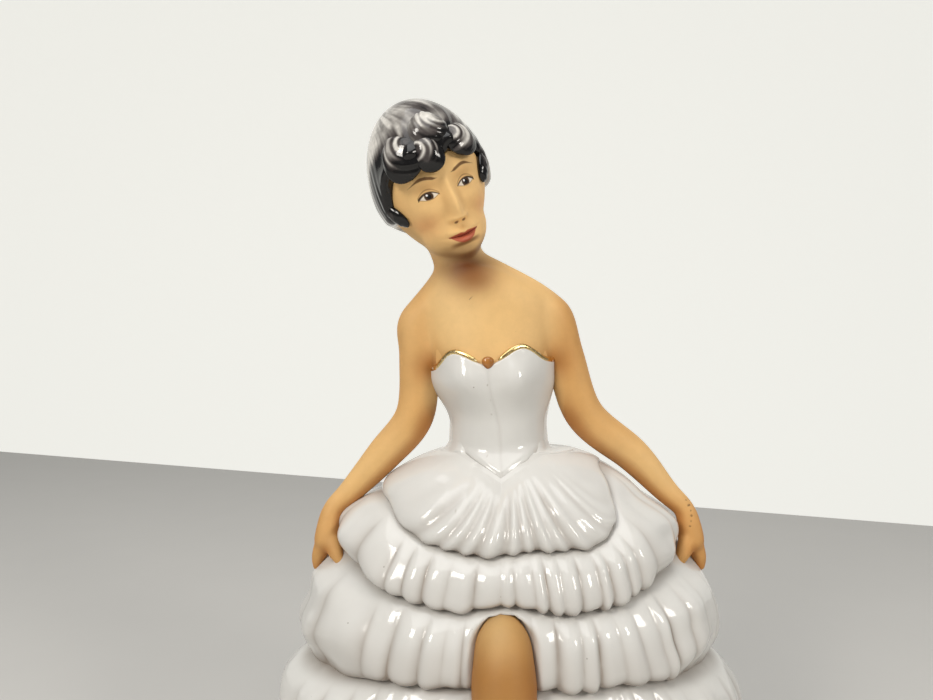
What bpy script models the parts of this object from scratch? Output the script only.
"""A slip-cast porcelain figurine: a dancer in a strapless gown who holds up a skirt of pleated flounces.

The castings are modelled as they lie on the bench before slip joins them, each a closed solid of its own.
Units are metres and +Z is up. The figure looks along -Y, and +X is to the viewer's right.
Run it with: blender --background --python part.py
"""

import math

import bmesh
import bpy
from mathutils import Matrix, Quaternion, Vector

GAP = 0.0003  # slip joint between two neighbouring castings

# Skirt shell: an elliptical bell with a flat seat on top, open at the foot
SKIRT_HALF_WIDTH = 0.0550
SKIRT_DEPTH_RATIO = 0.60
SKIRT_CROWN_Z = 0.116
SKIRT_SEAT_DROP = 0.003
SKIRT_WALL = 0.003
SKIRT_SEAT_Z = SKIRT_CROWN_Z - SKIRT_SEAT_DROP
BELL_RISE = 2.0
BELL_FLARE = 2.5
SHELL_STEPS = 44
SLOPE_STEP = 0.0005

# Flounces, from the waist down: height of the hem at the front, and how far it lifts at the sides
FLOUNCE_HEMS = (0.0930, 0.0820, 0.0663, 0.0440, 0.0220, 0.0010)
FLOUNCE_LIFTS = (0.0115, 0.0080, -0.0035, 0.0, 0.0, 0.0)
FLOUNCE_BULGE = 0.0062
FLOUNCE_SIDE_BULGE = 0.0078
FLOUNCE_FRONT_REACH = 0.70
FLOUNCE_SIDE_REACH = 0.86
FLOUNCE_EDGE = 0.0008
PLEAT_PITCH = 0.0075
PLEAT_DEPTH = 0.0016
HEM_WAVE = 0.0006

# Trunk: heights above the skirt's seat, then half-widths, half-depths and the lean to the viewer's left
WAIST_RISE = 0.0050
BUST_RISE = 0.0210
SHOULDER_RISE = 0.0355
NECK_RISE = 0.0460
WAIST_HALF_WIDTH = 0.0125
WAIST_HALF_DEPTH = 0.0098
BUST_HALF_WIDTH = 0.0148
BUST_HALF_DEPTH = 0.0108
SHOULDER_HALF_WIDTH = 0.0174
SHOULDER_HALF_DEPTH = 0.0092
NECK_RADIUS = 0.0072
SHOULDER_FULLNESS = 2.0
WAIST_X = -0.0024
BUST_X = -0.0042
SHOULDER_X = -0.0052
NECK_X = -0.0102
BREAST_HEIGHT = 0.0030
BREAST_REACH = 0.0060
TRUNK_RISES = [NECK_RISE * step / 11 for step in range(1, 12)]
TENON_RADIUS = 0.0070
TENON_LENGTH = 0.0080

# Bodice: a glazed shell round the trunk with a sweetheart neckline and a pointed waist
BODICE_WALL = 0.0015
NECKLINE_RISE = 0.0208
NECKLINE_PEAK = 0.0038
NECKLINE_BACK_DROP = 0.0030
NECKLINE_SLOPE = math.radians(5)
WAIST_POINT_DROP = 0.0060
WAIST_POINT_HALF_WIDTH = 0.0110
PEAK_ANGLE = math.radians(30)
PEAK_SPREAD = math.radians(19)
BAND_RADIUS = 0.0006
BEAD_RADIUS = 0.0013

# Arms: they hang from the shoulders and rest along the sides of the skirt
UPPER_ARM_RADIUS = 0.0050
ELBOW_RADIUS = 0.0049
FOREARM_RADIUS = 0.0045
WRIST_RADIUS = 0.0034
PALM_RADIUS = 0.0036
FINGER_RADIUS = 0.0020
THUMB_RADIUS = 0.0018
SHOULDER_TOP_DROP = 0.0010
SHOULDER_CAP_OUT = 0.0002
ELBOW_RISE = 0.0085
ELBOW_REACH = 0.0215
HAND_FORWARD = 0.0030
ARM_STANDOFF = 0.0021

# Head: an egg tilted to the viewer's left on a slim neck, under a cap of glazed hair
HEAD_HALF_WIDTH = 0.0132
HEAD_HALF_DEPTH = 0.0158
HEAD_HALF_HEIGHT = 0.0193
HEAD_RISE = 0.0665
HEAD_X = -0.0194
HEAD_FORWARD = 0.0020
HEAD_TILT = math.radians(25)
HEAD_TURN = math.radians(10)
HEAD_NOD = math.radians(20)
JAW_TAPER = 0.34
NOSE_HEIGHT = 0.0020
NECK_TENON_RADIUS = 0.0030
NECK_TENON_LENGTH = 0.0040
HAIR_THICKNESS = 0.0022
HAIR_POLE_TILT = math.radians(42)
CURL_HEIGHT = 0.0022

# Curls from the viewer's left to right: turn and polar angle on the head, half-length, half-width
CURLS = (
    (math.radians(-71), math.radians(117), 0.0072, 0.0026),
    (math.radians(-31), math.radians(101), 0.0047, 0.0042),
    (math.radians(-6), math.radians(112), 0.0034, 0.0028),
    (math.radians(3), math.radians(90), 0.0036, 0.0036),
    (math.radians(30), math.radians(104), 0.0030, 0.0036),
    (math.radians(55), math.radians(117), 0.0052, 0.0022),
)

# Leg and shoe, in the opening at the front of the skirt
LEG_X = -0.0028
LEG_TOP_DROP = 0.0020
LEG_TOP_Z = FLOUNCE_HEMS[1] - LEG_TOP_DROP
THIGH_RADIUS = 0.0066
KNEE_RADIUS = 0.0064
CALF_RADIUS = 0.0058
ANKLE_RADIUS = 0.0036
FOOT_RADIUS = 0.0034
KNEE_Z = 0.0560
CALF_Z = 0.0380
ANKLE_Z = 0.0140
SHOE_LENGTH = 0.0270
SHOE_HALF_WIDTH = 0.0052
SHOE_HEEL_HEIGHT = 0.0130
SHOE_TOE_HEIGHT = 0.0085
SOLE_THICKNESS = 0.0014

MERGE = 0.00001


# Shared shape tools


def ease(share):
    """Smooth step from 0 to 1."""
    share = max(0.0, min(1.0, share))
    return share * share * (3 - 2 * share)


def through(points, per_span):
    """Points on a smooth curve (Catmull-Rom) that passes through the given tuples of numbers."""
    ends = [points[0], *points, points[-1]]
    found = []
    for before, start, end, after in zip(ends, ends[1:], ends[2:], ends[3:]):
        for step in range(per_span):
            t = step / per_span
            found.append(
                tuple(
                    0.5 * (2 * b + (c - a) * t + (2 * a - 5 * b + 4 * c - d) * t * t + (3 * b - a - 3 * c + d) * t**3)
                    for a, b, c, d in zip(before, start, end, after)
                )
            )
    return [*found, tuple(points[-1])]


def turns(count):
    """Even angles round a circle."""
    return [2 * math.pi * step / count for step in range(count)]


def object_from(bm, name, material):
    """A named, smoothly shaded object from a bmesh, in the figurine's collection."""
    bmesh.ops.recalc_face_normals(bm, faces=bm.faces)
    mesh = bpy.data.meshes.new(name)
    bm.to_mesh(mesh)
    bm.free()
    mesh.shade_smooth()
    mesh.set_sharp_from_angle(angle=math.radians(45))
    obj = bpy.data.objects.new(name, mesh)
    if material:
        mesh.materials.append(material)
    PARTS.objects.link(obj)
    return obj


def ring_body(name, sections, material=None):
    """A closed ring: each section is a closed outline, and the last one joins the first."""
    bm = bmesh.new()
    rows = [[bm.verts.new(point) for point in section] for section in sections]
    for row, following in zip(rows, rows[1:] + rows[:1]):
        for i in range(len(row)):
            j = (i + 1) % len(row)
            bm.faces.new((row[i], row[j], following[j], following[i]))
    return object_from(bm, name, material)


def loft_body(name, rings, material=None):
    """A closed loft through rings of equal count, with its two ends capped."""
    bm = bmesh.new()
    rows = [[bm.verts.new(point) for point in ring] for ring in rings]
    for row, following in zip(rows, rows[1:]):
        for i in range(len(row)):
            j = (i + 1) % len(row)
            bm.faces.new((row[i], row[j], following[j], following[i]))
    bm.faces.new(rows[0])
    bm.faces.new(rows[-1])
    return object_from(bm, name, material)


def tube_body(name, points, radii, material=None, sides=3):
    """A tapered round tube along a line of points, turned into a mesh with welded caps."""
    curve = bpy.data.curves.new(name + "_line", "CURVE")
    curve.dimensions = "3D"
    curve.bevel_depth = 1.0
    curve.bevel_resolution = sides
    curve.use_fill_caps = True
    spline = curve.splines.new("POLY")
    spline.points.add(len(points) - 1)
    for spot, point, radius in zip(spline.points, points, radii):
        spot.co = (*point, 1)
        spot.radius = radius
    line = bpy.data.objects.new(name + "_line", curve)
    PARTS.objects.link(line)
    graph = bpy.context.evaluated_depsgraph_get()
    mesh = bpy.data.meshes.new_from_object(line.evaluated_get(graph))
    bpy.data.objects.remove(line)
    bm = bmesh.new()
    bm.from_mesh(mesh)
    bpy.data.meshes.remove(mesh)
    bmesh.ops.remove_doubles(bm, verts=bm.verts, dist=MERGE)
    return object_from(bm, name, material)


def as_cutter(obj):
    """Moves an object to the cutters, which no render shows."""
    PARTS.objects.unlink(obj)
    CUTTERS.objects.link(obj)
    obj.hide_render = True
    obj.display_type = "WIRE"
    return obj


def combine(obj, other, operation="DIFFERENCE"):
    """A Boolean of obj with a cutter or a joined shape."""
    modifier = obj.modifiers.new(operation.lower(), "BOOLEAN")
    modifier.operation = operation
    modifier.object = other
    return obj


# Skirt


def bell_half_width(z):
    share = max(0.0, min(1.0, z / SKIRT_CROWN_Z))
    return SKIRT_HALF_WIDTH * (1 - share**BELL_RISE) ** (1 / BELL_FLARE)


def bell_point(angle, z, proud):
    """A point over the skirt shell's outer face. Angle 0 is the front, and a quarter turn is +X."""
    half = bell_half_width(z)
    return Vector(
        (
            (half + proud) * math.sin(angle),
            -(half * SKIRT_DEPTH_RATIO + proud) * math.cos(angle),
            z,
        )
    )


def even_angles(count):
    """Angles that space points evenly along the skirt's oval."""
    fine = 1440
    lengths = [0.0]
    for step in range(fine):
        angle = 2 * math.pi * (step + 0.5) / fine
        lengths.append(lengths[-1] + math.hypot(math.cos(angle), SKIRT_DEPTH_RATIO * math.sin(angle)))
    angles, step = [], 0
    for index in range(count):
        target = lengths[-1] * index / count
        while lengths[step + 1] < target:
            step += 1
        share = (target - lengths[step]) / (lengths[step + 1] - lengths[step])
        angles.append(2 * math.pi * (step + share) / fine)
    return angles


def skirt_shell(material):
    """Cast shell of even wall. Its flat top has a hole that takes the torso's tenon."""
    hole = TENON_RADIUS + GAP
    levels = 8
    heights = [SKIRT_SEAT_Z * math.sin(math.pi / 2 * step / levels) for step in range(levels, -1, -1)]
    sections = []
    for angle in turns(SHELL_STEPS):
        mouth = Vector((WAIST_X + hole * math.sin(angle), -hole * math.cos(angle), SKIRT_SEAT_Z))
        outer = [bell_point(angle, z, 0) for z in heights]
        inner = [bell_point(angle, z, -SKIRT_WALL) for z in reversed(heights[1:])]
        under = mouth - Vector((0, 0, SKIRT_WALL))
        sections.append([mouth, *outer, *inner, under])
    return ring_body("skirt_shell", sections, material)


def flounce_hem(index, angle):
    return FLOUNCE_HEMS[index] + FLOUNCE_LIFTS[index] * ease(math.sin(angle) ** 2)


def flounce_top(index, angle):
    """Each flounce starts under the hem above it, and the first one under the bodice's lower edge."""
    if index == 0:
        low, high = SKIRT_SEAT_Z - 2 * WAIST_POINT_DROP, SKIRT_SEAT_Z
        for _ in range(16):
            middle = (low + high) / 2
            if middle < bodice_bottom(bell_point(angle, middle, FLOUNCE_EDGE).x, math.cos(angle)):
                low = middle
            else:
                high = middle
        return low - 2 * GAP
    return flounce_hem(index - 1, angle) - HEM_WAVE - GAP


def flounce(index, material):
    """A puffed band of pleats, with a seat that follows the shell and an overhanging hem."""
    hem_width = bell_half_width(FLOUNCE_HEMS[index]) + FLOUNCE_BULGE
    around = 2 * math.pi * hem_width * math.sqrt((1 + SKIRT_DEPTH_RATIO**2) / 2)
    angles = even_angles(2 * round(around / PLEAT_PITCH))
    outer_steps = (0.0, 0.22, 0.5, 0.8, 1.0)
    inner_steps = (1.0, 0.8, 0.6, 0.4, 0.25, 0.12, 0.04, 0.0) if index == 0 else (1.0, 0.5, 0.0)
    sections = []
    for count, angle in enumerate(angles):
        crest = count % 2
        top = flounce_top(index, angle)
        hem = flounce_hem(index, angle) + HEM_WAVE * (1 - crest)
        outer, inner = [], []
        beside = math.sin(angle) ** 2
        reach = FLOUNCE_FRONT_REACH + (FLOUNCE_SIDE_REACH - FLOUNCE_FRONT_REACH) * beside**3
        bulge = FLOUNCE_BULGE + (FLOUNCE_SIDE_BULGE - FLOUNCE_BULGE) * beside
        for v in outer_steps:
            fullness = math.sin(math.pi * (0.08 + reach * v**1.3))
            groove = PLEAT_DEPTH * (1 - crest) * ease(v * 2) * fullness
            proud = GAP + FLOUNCE_EDGE * (1 - v) + bulge * fullness - groove
            outer.append(bell_point(angle, top + (hem - top) * v, proud))
        for v in inner_steps:
            inner.append(bell_point(angle, top + (hem - top) * v, GAP))
        sections.append(outer + inner)
    return ring_body(f"flounce_{index + 1}", sections, material)


# Trunk and bodice


def trunk_section(rise):
    """Centre x, half-width and half-depth of the trunk at a height above the skirt's seat."""
    stations = (
        (0.0, WAIST_X, WAIST_HALF_WIDTH, WAIST_HALF_DEPTH),
        (WAIST_RISE, WAIST_X, WAIST_HALF_WIDTH, WAIST_HALF_DEPTH),
        (BUST_RISE, BUST_X, BUST_HALF_WIDTH, BUST_HALF_DEPTH),
        (SHOULDER_RISE, SHOULDER_X, SHOULDER_HALF_WIDTH, SHOULDER_HALF_DEPTH),
        (NECK_RISE, NECK_X, NECK_RADIUS, NECK_RADIUS),
    )
    for low, high in zip(stations, stations[1:]):
        if rise <= high[0]:
            share = (rise - low[0]) / (high[0] - low[0])
            share = share**SHOULDER_FULLNESS if high is stations[-1] else ease(share)
            return [a + (b - a) * share for a, b in zip(low[1:], high[1:])]
    return stations[-1][1:]


def trunk_point(angle, rise, proud):
    """A point over the trunk's skin, with the bust swelling at the front."""
    centre, half_width, half_depth = trunk_section(rise)
    across = (half_width + proud) * math.sin(angle)
    along = -(half_depth + proud) * math.cos(angle)
    if math.cos(angle) > 0:
        for side in (-1, 1):
            apart = (across - side * half_width / 2) / BREAST_REACH
            above = (rise - BUST_RISE + BREAST_REACH / 3) / BREAST_REACH
            along -= BREAST_HEIGHT * math.cos(angle) * math.exp(-apart * apart - above * above)
    return Vector((centre + across, along, SKIRT_SEAT_Z + rise))


def neckline_rise(angle):
    """Height of the bodice's upper edge above the seat: two peaks, a dip between them, lower at the back."""
    turned = abs(math.remainder(angle, 2 * math.pi))
    peak = NECKLINE_PEAK * math.exp(-(((turned - PEAK_ANGLE) / PEAK_SPREAD) ** 2))
    back = NECKLINE_BACK_DROP * ease((turned - math.pi / 2) / (math.pi / 2))
    slope = BUST_HALF_WIDTH * math.sin(angle) * math.tan(NECKLINE_SLOPE)
    return NECKLINE_RISE + peak - back + slope


def bodice_bottom(x, front):
    """Height of the bodice's lower edge, which falls to a point at the front."""
    beside = abs(x - WAIST_X) / WAIST_POINT_HALF_WIDTH
    fall = max(0.0, 1 - beside) if front > 0 else 0.0
    return SKIRT_SEAT_Z + GAP - WAIST_POINT_DROP * fall


def bodice_point(angle, z, proud):
    """Over the trunk above the seat, and over the skirt where the pointed front hangs below it."""
    if z >= SKIRT_SEAT_Z:
        return trunk_point(angle, z - SKIRT_SEAT_Z, proud)
    waist = trunk_point(angle, 0, BODICE_WALL)
    half = bell_half_width(z) + BODICE_WALL
    depth = bell_half_width(z) * SKIRT_DEPTH_RATIO + BODICE_WALL
    face = min(waist.y, -depth * math.sqrt(1 - (waist.x / half) ** 2))
    return Vector((trunk_point(angle, 0, proud).x, face + BODICE_WALL - proud, z))


def trunk_rings(proud, rises, steps=32):
    return [[trunk_point(turn, rise, proud) for turn in turns(steps)] for rise in rises]


def tenon_ring(z, steps=32):
    return [(WAIST_X + TENON_RADIUS * math.sin(t), -TENON_RADIUS * math.cos(t), z) for t in turns(steps)]


def torso(material):
    """Shoulders, chest and the core inside the bodice, on a tenon that drops into the skirt."""
    floor = SKIRT_SEAT_Z + GAP
    waist = [Vector((*point[:2], floor)) for point in trunk_rings(0, [0])[0]]
    rings = [tenon_ring(floor - TENON_LENGTH), tenon_ring(floor), waist, *trunk_rings(0, TRUNK_RISES)]
    body = loft_body("torso", rings, material)
    socket_floor = SKIRT_SEAT_Z + NECK_RISE - NECK_TENON_LENGTH - GAP
    socket = upright_pin("neck_socket", NECK_TENON_RADIUS + GAP, socket_floor, 2 * NECK_TENON_LENGTH)
    return combine(body, as_cutter(socket))


def upright_pin(name, radius, floor, length):
    """A round pin on the neck's axis."""
    bm = bmesh.new()
    place = Matrix.Translation((NECK_X, 0, floor + length / 2))
    bmesh.ops.create_cone(
        bm, cap_ends=True, segments=20, radius1=radius, radius2=radius, depth=length, matrix=place
    )
    return object_from(bm, name, None)


def trunk_cutter():
    """Room for the trunk and its bodice, cut out of the arms."""
    edge = neckline_rise(math.pi / 2) + 2 * BAND_RADIUS + 3 * GAP
    clothed = trunk_rings(BODICE_WALL + 2 * GAP, [-GAP, *(rise for rise in TRUNK_RISES if rise < edge), edge])
    bare = trunk_rings(GAP, [edge, *(rise for rise in TRUNK_RISES if rise > edge)])
    return as_cutter(loft_body("trunk_cutter", [*clothed, *bare]))


def bodice(material):
    steps, levels = 44, 6
    sections = []
    for angle in turns(steps):
        bottom = bodice_bottom(trunk_point(angle, 0, BODICE_WALL).x, math.cos(angle)) + GAP
        top = SKIRT_SEAT_Z + neckline_rise(angle)
        heights = [bottom + (top - bottom) * level / levels for level in range(levels + 1)]
        outer = [bodice_point(angle, z, BODICE_WALL) for z in heights]
        inner = [bodice_point(angle, z, 2 * GAP) for z in reversed(heights)]
        sections.append(outer + inner)
    return ring_body("bodice", sections, material)


def neckline_band(material):
    """A gilt bead of even width along the bodice's upper edge, open where the amber bead sits."""
    steps = 44
    start = math.asin((BEAD_RADIUS + 2 * BAND_RADIUS) / BUST_HALF_WIDTH)
    points = []
    for step in range(steps + 1):
        angle = start + (2 * math.pi - 2 * start) * step / steps
        rise = neckline_rise(angle) + BAND_RADIUS + GAP
        points.append(trunk_point(angle, rise, BODICE_WALL - BAND_RADIUS + GAP))
    return tube_body("neckline_band", points, [BAND_RADIUS] * len(points), material, sides=1)


def neckline_bead(material):
    bm = bmesh.new()
    seat = trunk_point(0, neckline_rise(0) + BEAD_RADIUS + GAP, BEAD_RADIUS + GAP)
    bmesh.ops.create_uvsphere(
        bm, u_segments=12, v_segments=7, radius=BEAD_RADIUS, matrix=Matrix.Translation(seat)
    )
    return object_from(bm, "neckline_bead", material)


# Arms


def beside_skirt(side, z, radius, forward=0.0):
    """Centre of a round limb that rests on the skirt's side at a height."""
    slope = (bell_half_width(z + SLOPE_STEP) - bell_half_width(z - SLOPE_STEP)) / (2 * SLOPE_STEP)
    normal = Vector((1, 0, -slope)).normalized()
    away = radius + ARM_STANDOFF + 2 * GAP
    return (side * (bell_half_width(z) + normal.x * away), -forward, z + normal.z * away)


def arm_line(side):
    """Centres and radii from the shoulder to the fingertips."""
    shoulder_z = SKIRT_SEAT_Z + SHOULDER_RISE
    socket = (SHOULDER_X + side * SHOULDER_HALF_WIDTH * 0.66, 0.0, shoulder_z - UPPER_ARM_RADIUS * 0.3)
    cap = (SHOULDER_X + side * (SHOULDER_HALF_WIDTH + SHOULDER_CAP_OUT), 0.0, shoulder_z - SHOULDER_TOP_DROP)
    upper = (
        SHOULDER_X / 2 + side * (SHOULDER_HALF_WIDTH + UPPER_ARM_RADIUS * 0.35),
        0.0,
        shoulder_z - 0.45 * (SHOULDER_RISE - ELBOW_RISE),
    )
    elbow = (WAIST_X / 2 + side * ELBOW_REACH, 0.0, SKIRT_SEAT_Z + ELBOW_RISE)
    drop = SKIRT_SEAT_Z - FLOUNCE_HEMS[1]
    forearm = beside_skirt(side, SKIRT_SEAT_Z - 0.22 * drop, FOREARM_RADIUS)
    lower = beside_skirt(side, SKIRT_SEAT_Z - 0.48 * drop, FOREARM_RADIUS * 0.92, HAND_FORWARD / 2)
    wrist = beside_skirt(side, SKIRT_SEAT_Z - 0.72 * drop, WRIST_RADIUS, HAND_FORWARD)
    palm = beside_skirt(side, FLOUNCE_HEMS[1] + 0.16 * drop, PALM_RADIUS, HAND_FORWARD)
    tips = beside_skirt(side, FLOUNCE_HEMS[1] - 0.02 * drop, PALM_RADIUS, HAND_FORWARD)
    places = (socket, cap, upper, elbow, forearm, lower, wrist, palm, tips)
    radii = (
        UPPER_ARM_RADIUS * 0.5,
        UPPER_ARM_RADIUS * 1.06,
        UPPER_ARM_RADIUS,
        ELBOW_RADIUS,
        FOREARM_RADIUS,
        FOREARM_RADIUS * 0.92,
        WRIST_RADIUS,
        PALM_RADIUS,
        FINGER_RADIUS,
    )
    line = through([(*place, radius) for place, radius in zip(places, radii)], 3)
    return [spot[:3] for spot in line], [spot[3] for spot in line]


def thumb_line(side):
    """The thumb, on the inner and front side of the palm."""
    points, radii = arm_line(side)
    root = Vector(points[-5])
    tip = Vector(points[-1]) + Vector((-side * 1.9 * PALM_RADIUS, -PALM_RADIUS, 0.2 * PALM_RADIUS))
    middle = (root + tip) / 2 + Vector((-side * THUMB_RADIUS * 0.5, -THUMB_RADIUS * 0.6, 0))
    return [root, middle, tip], [THUMB_RADIUS, THUMB_RADIUS * 1.05, THUMB_RADIUS * 0.7]


def arm_shape(name, side, proud, material=None):
    points, radii = arm_line(side)
    shape = tube_body(name, points, [radius + proud for radius in radii], material)
    spots, widths = thumb_line(side)
    thumb = tube_body(name + "_thumb", spots, [width + proud for width in widths], None, sides=1)
    return combine(shape, as_cutter(thumb), "UNION")


def skirt_cutter():
    """Room for the skirt shell, cut out of the limbs that rest on it."""
    levels = 12
    heights = [SKIRT_SEAT_Z * math.sin(math.pi / 2 * step / levels) for step in range(levels + 1)]
    heights[0] = -SKIRT_WALL
    rings = [[bell_point(turn, z, GAP) for turn in turns(SHELL_STEPS)] for z in heights]
    rings[-1] = [spot + Vector((0, 0, GAP)) for spot in rings[-1]]
    return as_cutter(loft_body("skirt_cutter", rings))


# Head and hair


def head_matrix():
    place = Matrix.Translation((HEAD_X, -HEAD_FORWARD, SKIRT_SEAT_Z + HEAD_RISE))
    tilt = Matrix.Rotation(-HEAD_TILT, 4, "Y")
    turn = Matrix.Rotation(HEAD_TURN, 4, "Z")
    nod = Matrix.Rotation(HEAD_NOD, 4, "X")
    return place @ tilt @ turn @ nod


def skull_point(way, proud):
    """A point over the head in its own frame, the face towards -Y, in a direction given as a unit vector."""
    point = Vector((way.x * HEAD_HALF_WIDTH, way.y * HEAD_HALF_DEPTH, way.z * HEAD_HALF_HEIGHT))
    below = max(0.0, -way.z)
    point.x *= 1 - JAW_TAPER * below**1.5
    point.y *= 1 - JAW_TAPER * below**1.5 * (0.4 if way.y < 0 else 1.6)
    front = max(0.0, -way.y) ** 6
    nose = math.exp(-((way.x / 0.16) ** 2) - ((way.z + 0.22) / 0.15) ** 2)
    point.y -= NOSE_HEIGHT * front * nose
    return point + way * proud


def head(material):
    """Skull and neck, with a tenon that drops into the torso."""
    bm = bmesh.new()
    bmesh.ops.create_uvsphere(bm, u_segments=28, v_segments=18, radius=1)
    for vert in bm.verts:
        vert.co = skull_point(vert.co.normalized(), 0)
    bm.transform(head_matrix())
    body = object_from(bm, "head", material)
    floor = SKIRT_SEAT_Z + NECK_RISE + GAP
    skull = head_matrix() @ Vector((0, HEAD_HALF_DEPTH * 0.12, -HEAD_HALF_HEIGHT * 0.35))
    foot = Vector((NECK_X, 0, floor))
    lean = Vector((0, 0, 1)).rotation_difference(skull - foot)
    rings = []
    for step in range(7):
        share = step / 6
        radius = NECK_RADIUS * (1 - 0.14 * ease(share * 2))
        turned = Quaternion().slerp(lean, share)
        spots = [Vector((math.cos(turn), math.sin(turn), 0)) * radius for turn in turns(18)]
        rings.append([foot.lerp(skull, share) + turned @ spot for spot in spots])
    neck = loft_body("neck_shape", rings)
    combine(body, as_cutter(neck), "UNION")
    pin_floor = SKIRT_SEAT_Z + NECK_RISE - NECK_TENON_LENGTH
    pin = upright_pin("neck_tenon", NECK_TENON_RADIUS, pin_floor, NECK_TENON_LENGTH + NECK_RADIUS)
    return combine(body, as_cutter(pin), "UNION")


def hair_way(turn, polar):
    """A direction from the head's middle, counted from a pole at the back of the crown. Turn 0 is the face."""
    flat = Vector((math.sin(polar) * math.sin(turn), -math.sin(polar) * math.cos(turn), math.cos(polar)))
    return Matrix.Rotation(-HAIR_POLE_TILT, 3, "X") @ flat


def hairline(turn):
    """Polar angle of the hair's edge: a fringe over the forehead, low at the temples, scalloped at the front."""
    turned = abs(math.remainder(turn, 2 * math.pi))
    temple = math.radians(14) * math.exp(-(((turned - math.radians(88)) / math.radians(30)) ** 2))
    scallop = math.radians(2.5) * math.cos(12 * turn) * (1 - ease(turned / math.radians(110)))
    nape = math.radians(9) * ease((turned - math.radians(110)) / math.radians(60))
    brow = math.radians(17) * (1 - ease(turned / math.radians(75)))
    return math.radians(93) + brow + temple + scallop - nape


def hair_rings(proud, levels, steps=40):
    """Rings from the hair's edge up to the pole."""
    rings = []
    for level in range(levels):
        share = 1 - level / (levels - 0.6)
        rings.append([skull_point(hair_way(turn, hairline(turn) * share), proud) for turn in turns(steps)])
    return rings


def hair_cap(material):
    """A cap of even thickness over the skull."""
    outer = hair_rings(HAIR_THICKNESS, 8)
    inner = hair_rings(2 * GAP, 7)
    body = loft_body("hair_cap", [*reversed(outer), *inner], material)
    body.data.transform(head_matrix())
    return body


def hair_cutter():
    """Room for the head and its hair, cut out of the curls that are pressed on."""
    bm = bmesh.new()
    bmesh.ops.create_uvsphere(bm, u_segments=48, v_segments=32, radius=1)
    for vert in bm.verts:
        vert.co = skull_point(vert.co.normalized(), HAIR_THICKNESS + GAP)
    bm.transform(head_matrix())
    return as_cutter(object_from(bm, "hair_cutter", None))


def curl(index, cutter, material):
    """A pressed-on lock above the forehead: a flattened drop that points down towards the face."""
    turn, polar, half_length, half_width = CURLS[index]
    way = hair_way(turn, polar)
    down = (hair_way(turn, polar + 0.1) - way).normalized()
    across = way.cross(down).normalized()
    bm = bmesh.new()
    bmesh.ops.create_uvsphere(bm, u_segments=10, v_segments=7, radius=1)
    seat = skull_point(way, HAIR_THICKNESS)
    for vert in bm.verts:
        lean = 1 + 0.25 * vert.co.z
        vert.co = (
            seat
            + across * (vert.co.x * half_width * lean)
            + way * (vert.co.y * CURL_HEIGHT)
            + down * (vert.co.z * half_length)
        )
    bm.transform(head_matrix())
    return combine(object_from(bm, f"curl_{index + 1}", material), cutter)


# Leg and shoe


def leg_front(z):
    """Depth of the leg's centre line, in the middle of the flounces' swell."""
    return -(bell_half_width(z) * SKIRT_DEPTH_RATIO + FLOUNCE_BULGE)


def leg_line():
    """Centres and radii from the thigh to the toes."""
    instep = leg_front(ANKLE_Z) - SHOE_LENGTH * 0.24
    toes = leg_front(ANKLE_Z) - SHOE_LENGTH * 0.60
    spots = (
        (LEG_X, leg_front(LEG_TOP_Z) + FLOUNCE_BULGE * 0.8, LEG_TOP_Z, THIGH_RADIUS * 0.8),
        (LEG_X, leg_front(0.7 * LEG_TOP_Z + 0.3 * KNEE_Z), 0.7 * LEG_TOP_Z + 0.3 * KNEE_Z, THIGH_RADIUS),
        (LEG_X, leg_front(KNEE_Z), KNEE_Z, KNEE_RADIUS),
        (LEG_X, leg_front(CALF_Z), CALF_Z, CALF_RADIUS),
        (LEG_X, leg_front(ANKLE_Z), ANKLE_Z, ANKLE_RADIUS),
        (LEG_X, instep, (ANKLE_Z + FOOT_RADIUS) / 2, FOOT_RADIUS),
        (LEG_X, toes, FOOT_RADIUS + SOLE_THICKNESS, FOOT_RADIUS * 0.8),
    )
    line = through(spots, 3)
    return [spot[:3] for spot in line], [spot[3] for spot in line]


def leg(material):
    points, radii = leg_line()
    return tube_body("leg", points, radii, material)


def leg_cutter():
    points, radii = leg_line()
    return as_cutter(tube_body("leg_cutter", points, [radius + GAP for radius in radii]))


def shoe_rings(proud):
    """Outlines of the shoe from heel to toe, flat underneath."""
    heel = leg_front(0) + FLOUNCE_BULGE * 0.8
    rings = []
    for share in (0.0, 0.08, 0.25, 0.45, 0.65, 0.82, 0.94, 1.0):
        y = heel - share * SHOE_LENGTH + proud * (1 - 2 * share)
        full = math.sqrt(max(0.0, 1 - abs(2 * share - 1) ** 5) * 0.9 + 0.1)
        half_width = SHOE_HALF_WIDTH * full * (0.72 + 0.28 * ease(share * 1.6)) + proud
        top = SHOE_HEEL_HEIGHT + (SHOE_TOE_HEIGHT - SHOE_HEEL_HEIGHT) * ease(share * 1.5)
        top = top * (0.55 + 0.45 * full) + proud
        ring = [Vector((LEG_X - half_width, y, -proud)), Vector((LEG_X + half_width, y, -proud))]
        for step in range(9):
            turn = math.pi * step / 8
            height = top * (0.35 + 0.65 * math.sin(turn) ** 0.7)
            ring.append(Vector((LEG_X + half_width * math.cos(turn), y, height)))
        rings.append(ring)
    return rings


def shoe(room, material):
    return combine(loft_body("shoe", shoe_rings(0), material), room)


# Finishes


def finish(name, colour, roughness, metallic=0.0):
    made = bpy.data.materials.new(name)
    made.use_nodes = True
    shader = made.node_tree.nodes["Principled BSDF"]
    shader.inputs["Base Color"].default_value = (*colour, 1)
    shader.inputs["Roughness"].default_value = roughness
    shader.inputs["Metallic"].default_value = metallic
    return made


def new_collection(name):
    made = bpy.data.collections.new(name)
    bpy.context.scene.collection.children.link(made)
    return made


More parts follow.
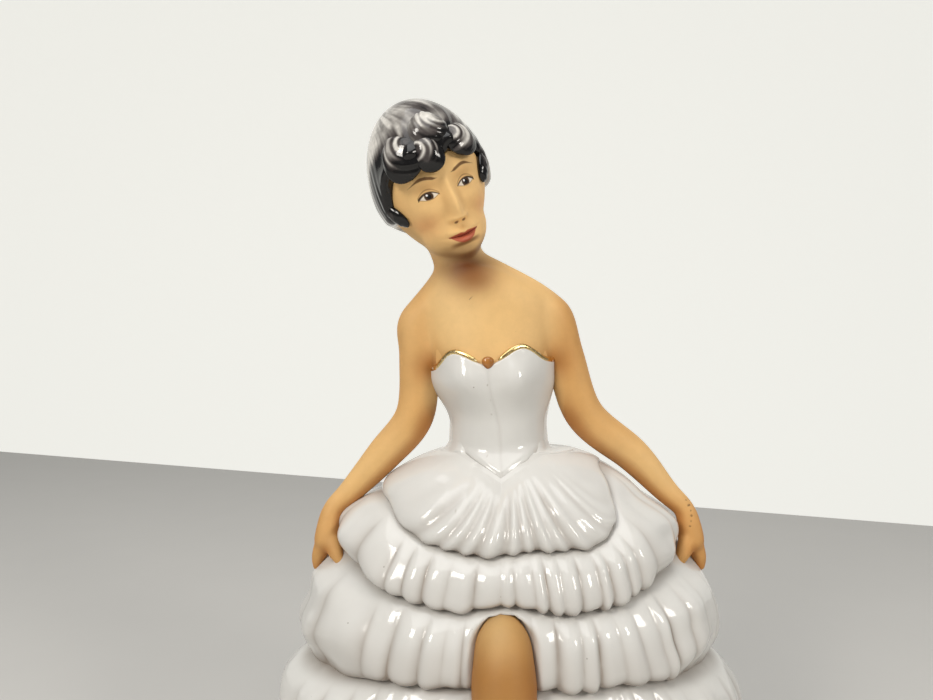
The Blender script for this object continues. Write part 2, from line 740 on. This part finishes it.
def centre_on_base():
    """Carries every piece on one empty, with the middle of the footprint at the origin."""
    bpy.context.view_layer.update()
    graph = bpy.context.evaluated_depsgraph_get()
    corners = []
    for obj in PARTS.objects:
        shown = obj.evaluated_get(graph)
        corners += [shown.matrix_world @ Vector(corner) for corner in shown.bound_box]
    low = Vector([min(corner[axis] for corner in corners) for axis in range(3)])
    high = Vector([max(corner[axis] for corner in corners) for axis in range(3)])
    carrier = bpy.data.objects.new("figurine", None)
    carrier.location = (-(low.x + high.x) / 2, -(low.y + high.y) / 2, -low.z)
    bpy.context.scene.collection.objects.link(carrier)
    for obj in [*PARTS.objects, *CUTTERS.objects]:
        obj.parent = carrier


for old in list(bpy.data.objects):
    bpy.data.objects.remove(old)
PARTS = new_collection("porcelain_figurine")
CUTTERS = new_collection("cutters")

skin = finish("bisque_skin", (0.75, 0.50, 0.22), 0.60)
glaze = finish("white_glaze", (0.80, 0.79, 0.75), 0.12)
hair_glaze = finish("hair_glaze", (0.09, 0.09, 0.09), 0.15)
gilt = finish("gilt", (0.80, 0.58, 0.20), 0.20, 1.0)
amber = finish("amber_lustre", (0.36, 0.14, 0.03), 0.20)

trunk_room = trunk_cutter()
skirt_room = skirt_cutter()
leg_room = leg_cutter()
shoe_room = as_cutter(loft_body("shoe_cutter", shoe_rings(GAP)))
arm_rooms = {}
for arm_name, arm_side in (("arm_right", -1), ("arm_left", 1)):
    arm = arm_shape(arm_name, arm_side, 0, skin)
    combine(combine(arm, trunk_room), skirt_room)
    arm_rooms[arm_side] = as_cutter(arm_shape(arm_name + "_cutter", arm_side, GAP))

skirt_shell(glaze)
for number in range(len(FLOUNCE_HEMS)):
    band = flounce(number, glaze)
    if number < 3:
        combine(combine(band, arm_rooms[-1]), arm_rooms[1])
    if number > 0:
        combine(band, leg_room)
    if number == len(FLOUNCE_HEMS) - 1:
        combine(band, shoe_room)

torso(skin)
combine(bodice(glaze), skirt_room)
neckline_band(gilt)
neckline_bead(amber)
head(skin)
hair_cap(hair_glaze)
hair_room = hair_cutter()
for number in range(len(CURLS)):
    curl(number, hair_room, hair_glaze)
combine(leg(skin), skirt_room)
shoe(leg_room, glaze)
centre_on_base()
